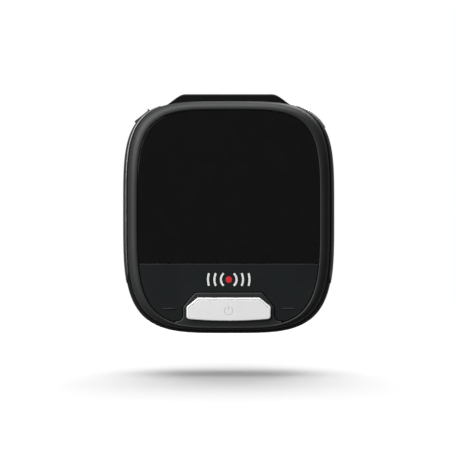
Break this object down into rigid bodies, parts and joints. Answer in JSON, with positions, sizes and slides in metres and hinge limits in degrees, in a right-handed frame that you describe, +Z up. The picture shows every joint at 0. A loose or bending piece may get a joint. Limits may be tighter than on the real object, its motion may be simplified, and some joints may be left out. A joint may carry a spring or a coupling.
{
  "type": "radar detector",
  "caption": "Compact windscreen radar detector with a glossy display front, a rocker panel, a silver power button, corner keys, a rear radar window and a laser lens",
  "frame": {"origin": "centre of the flat bracket seat on top of the hump", "axes": "+Z up out of the bracket seat, -Y towards the driver (display side), +Y towards the road (antenna side), +X to the driver's right"},
  "size_m": [0.06, 0.0317, 0.0678],
  "materials": {
    "bezel_plastic": "satin black moulded plastic",
    "housing_plastic": "fine textured black moulded plastic",
    "gloss_lens": "polished black tinted acrylic",
    "gloss_rocker": "polished black plastic",
    "silver_button_plate": "satin chrome plated plastic",
    "dark_chrome_trim": "dark chrome plated plastic",
    "silver_key_plate": "satin chrome plated plastic",
    "black_key_plastic": "black moulded plastic",
    "smoked_window": "smoked radar-clear plastic",
    "red_lens": "deep red infrared-pass plastic",
    "green_board": "green solder mask over glass-epoxy board",
    "blue_board": "blue solder mask over glass-epoxy board",
    "display_glass": "display glass with dark polariser",
    "white_moulding": "white moulded backlight frame",
    "amber_film": "amber polyimide film",
    "ivory_connector": "ivory moulded plastic",
    "chip_black": "black epoxy chip package",
    "switch_black": "black moulded plastic",
    "plunger_grey": "grey moulded plastic",
    "die_cast": "bare die cast metal",
    "tin_plate": "tin plated sheet steel",
    "brass": "bare brass",
    "zinc_steel": "zinc plated steel",
    "black_steel": "black coated steel",
    "ceramic": "fired ceramic",
    "foam_black": "black closed-cell foam",
    "cone_black": "black pressed fibre",
    "ferrite": "sintered ferrite",
    "red_wire": "red wire insulation",
    "black_wire": "black wire insulation"
  },
  "bodies": {
    "casing": {"board_screw_left": "zinc_steel", "board_screw_right": "zinc_steel", "board_screw_top": "zinc_steel", "case_screw_bottom_left": "black_steel", "case_screw_bottom_right": "black_steel", "case_screw_top_left": "black_steel", "case_screw_top_right": "black_steel", "display_backlight": "white_moulding", "display_flex": "amber_film", "display_glass": "display_glass", "display_lens": "gloss_lens", "flex_connector": "ivory_connector", "front_bezel": "bezel_plastic", "gps_board": "green_board", "gps_patch_antenna": "ceramic", "horn_antenna": "die_cast", "horn_screw_left": "zinc_steel", "horn_screw_right": "zinc_steel", "laser_board": "blue_board", "laser_lens": "red_lens", "laser_photodiode": "tin_plate", "laser_pin_header": "switch_black", "left_corner_switch_body": "switch_black", "left_trim_strip": "dark_chrome_trim", "lens_tape": "foam_black", "main_board": "green_board", "memory_chip": "chip_black", "power_inductor": "ferrite", "power_switch_body": "switch_black", "processor_chip": "chip_black", "radar_window": "smoked_window", "rear_housing": "housing_plastic", "rf_board": "blue_board", "rf_shield": "tin_plate", "rf_standoff_left": "brass", "rf_standoff_right": "brass", "right_corner_switch_body": "switch_black", "right_trim_strip": "dark_chrome_trim", "rocker_left_switch_body": "switch_black", "rocker_pivot_pin": "zinc_steel", "rocker_right_switch_body": "switch_black", "speaker_cone": "cone_black", "speaker_frame": "black_steel", "speaker_gasket": "foam_black", "speaker_magnet": "ferrite", "speaker_wire_black": "black_wire", "speaker_wire_red": "red_wire", "usb_socket": "tin_plate", "usb_tongue": "switch_black"},
    "power_button": {"power_button": "silver_button_plate", "power_switch_plunger": "plunger_grey"},
    "rocker": {"rocker_panel": "gloss_rocker"},
    "rocker_left_plunger": {"rocker_left_switch_plunger": "plunger_grey"},
    "rocker_right_plunger": {"rocker_right_switch_plunger": "plunger_grey"},
    "left_corner_key": {"left_corner_key": "black_key_plastic", "left_corner_switch_plunger": "plunger_grey"},
    "right_corner_key": {"right_corner_key": "silver_key_plate", "right_corner_switch_plunger": "plunger_grey"}
  },
  "joints": [
    {"name": "power_button_press", "type": "slide", "parent": "casing", "child": "power_button", "axis": [0, 1, 0], "range_m": [0, 0.0004]},
    {"name": "rocker_tilt", "type": "hinge", "parent": "casing", "child": "rocker", "pos_m": [0, -0.011, -0.052], "axis": [0, 0, 1], "range_deg": [-1.2, 1.2]},
    {"name": "rocker_left_plunger_slide", "type": "slide", "parent": "casing", "child": "rocker_left_plunger", "axis": [0, 1, 0], "range_m": [-0.00036, 0.00036]},
    {"name": "rocker_right_plunger_slide", "type": "slide", "parent": "casing", "child": "rocker_right_plunger", "axis": [0, 1, 0], "range_m": [-0.00036, 0.00036]},
    {"name": "left_corner_key_press", "type": "slide", "parent": "casing", "child": "left_corner_key", "axis": [0.6225, 0, -0.7826], "range_m": [0, 0.00035]},
    {"name": "right_corner_key_press", "type": "slide", "parent": "casing", "child": "right_corner_key", "axis": [-0.6347, 0, -0.7727], "range_m": [0, 0.00035]}
  ],
  "couplings": [
    {"joint": "rocker_left_plunger_slide", "follows": "rocker_tilt", "m_per_rad": -0.0162},
    {"joint": "rocker_right_plunger_slide", "follows": "rocker_tilt", "m_per_rad": 0.0162}
  ]
}
